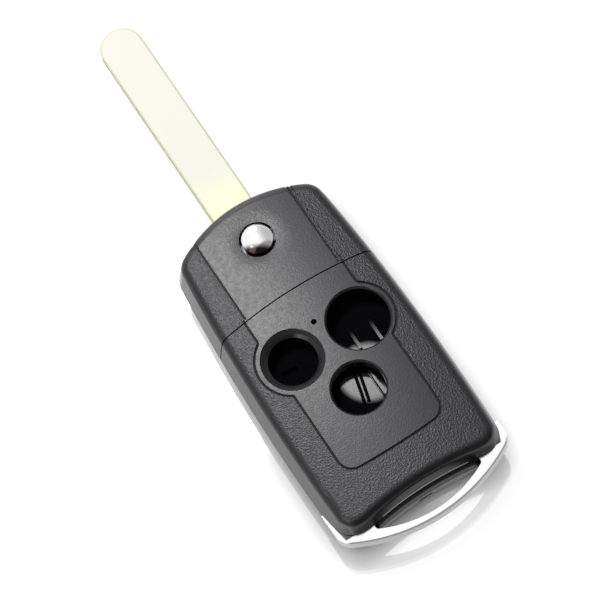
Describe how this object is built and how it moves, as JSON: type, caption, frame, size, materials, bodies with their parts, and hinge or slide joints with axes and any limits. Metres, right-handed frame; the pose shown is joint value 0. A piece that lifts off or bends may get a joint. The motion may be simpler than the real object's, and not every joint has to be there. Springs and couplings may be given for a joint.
{
  "type": "flip key remote shell",
  "caption": "Empty two-part case of a folding car key: blank blade on a spring hub with a release button, round button holes over a tray, and a metal key ring bow.",
  "frame": {"origin": "on the pivot axis of the blade, in the flat rear face that the key lies on", "axes": "+Z out of the front face, +Y from the case along the open blade, +X to the right seen from the front"},
  "size_m": [0.0368, 0.1194, 0.0165],
  "materials": {
    "case_plastic": "satin black with a fine grain on the sides",
    "tray_plastic": "smooth black",
    "bow_metal": "polished plate",
    "button_metal": "polished plate",
    "hub_metal": "bare die casting",
    "blade_metal": "plated blank with a warm tint",
    "steel": "bright steel"
  },
  "bodies": {
    "case": {"rear_case": "case_plastic", "front_cover": "case_plastic", "head_cover": "case_plastic", "module_tray": "tray_plastic", "ring_bow": "bow_metal", "case_screws": "steel"},
    "blade_unit": {"hub": "hub_metal", "blade": "blade_metal", "blade_pin": "steel", "coil_spring": "steel"},
    "button": {"release_button": "button_metal"}
  },
  "joints": [
    {"name": "blade_flip", "type": "hinge", "parent": "case", "child": "blade_unit", "pos_m": [0, 0, 0.0078], "axis": [0, 0, -1], "range_deg": [0, 180], "stiffness_Nm_per_rad": 0.01, "springref_deg": -45.84},
    {"name": "button_press", "type": "slide", "parent": "blade_unit", "child": "button", "axis": [0, 0, -1], "range_m": [0, 0.002], "stiffness_N_per_m": 1200, "springref_m": -0.001, "deforming": ["coil_spring"]}
  ]
}
